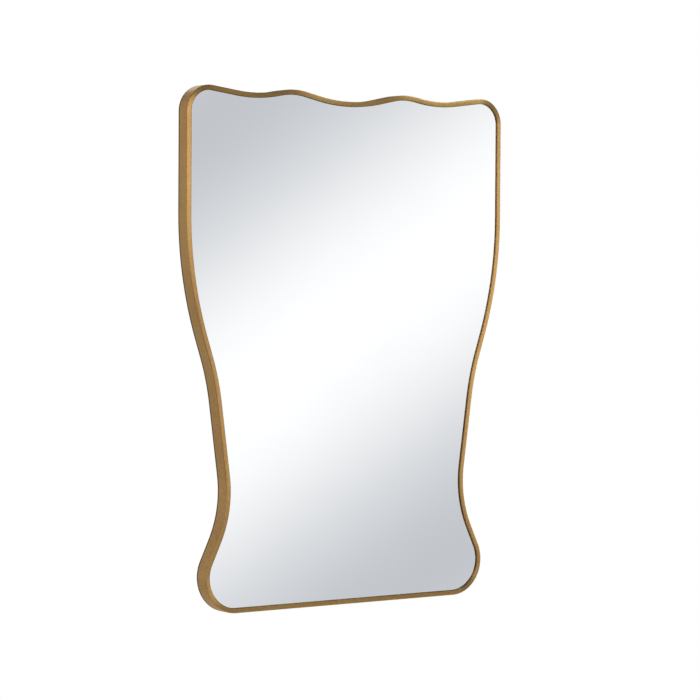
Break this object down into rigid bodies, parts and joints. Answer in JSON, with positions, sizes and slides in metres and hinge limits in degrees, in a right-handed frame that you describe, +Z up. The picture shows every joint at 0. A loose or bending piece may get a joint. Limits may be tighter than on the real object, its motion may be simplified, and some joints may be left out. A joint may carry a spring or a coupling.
{
  "type": "wall mirror",
  "caption": "Wall mirror with a waisted outline, wavy top edge and rounded corners, in a deep brushed-brass frame, hung by D-rings on its backing board.",
  "frame": {"origin": "on the wall plane, midway between the two wall hooks that the mirror hangs on", "axes": "+X right seen from the front, +Y towards the wall, +Z up"},
  "size_m": [0.762, 0.032, 1.0161],
  "materials": {
    "antique_brass": "brushed antique brass",
    "mirror": "silvered float glass",
    "foam_tape": "black foam tape",
    "safety_film": "grey film",
    "mounting_tape": "white foam tape",
    "backing_board": "black-faced fibreboard",
    "zinc_steel": "bright zinc plate"
  },
  "bodies": {
    "mirror": {"frame": "antique_brass", "glazing_tape": "foam_tape", "mirror_glass": "mirror", "safety_film": "safety_film", "backing_board": "backing_board", "bracket_nuts": "zinc_steel", "bracket_screws": "zinc_steel", "hanger_screws": "zinc_steel", "mounting_tape_1": "mounting_tape", "mounting_tape_2": "mounting_tape", "mounting_tape_3": "mounting_tape", "mounting_tape_4": "mounting_tape", "mounting_tape_5": "mounting_tape", "bracket_top_left": "zinc_steel", "bracket_top_right": "zinc_steel", "bracket_upper_left": "zinc_steel", "bracket_upper_right": "zinc_steel", "bracket_lower_left": "zinc_steel", "bracket_lower_right": "zinc_steel", "bracket_bottom_left": "zinc_steel", "bracket_bottom_right": "zinc_steel", "hanger_strap_left": "zinc_steel", "hanger_strap_right": "zinc_steel"},
    "ring_left": {"d_ring_left": "zinc_steel"},
    "ring_right": {"d_ring_right": "zinc_steel"}
  },
  "joints": [
    {"name": "ring_left_swing", "type": "hinge", "parent": "mirror", "child": "ring_left", "pos_m": [-0.27, -0.01162, -0.0195], "axis": [1, 0, 0], "range_deg": [0, 178]},
    {"name": "ring_right_swing", "type": "hinge", "parent": "mirror", "child": "ring_right", "pos_m": [0.27, -0.01162, -0.0195], "axis": [1, 0, 0], "range_deg": [0, 178]}
  ]
}
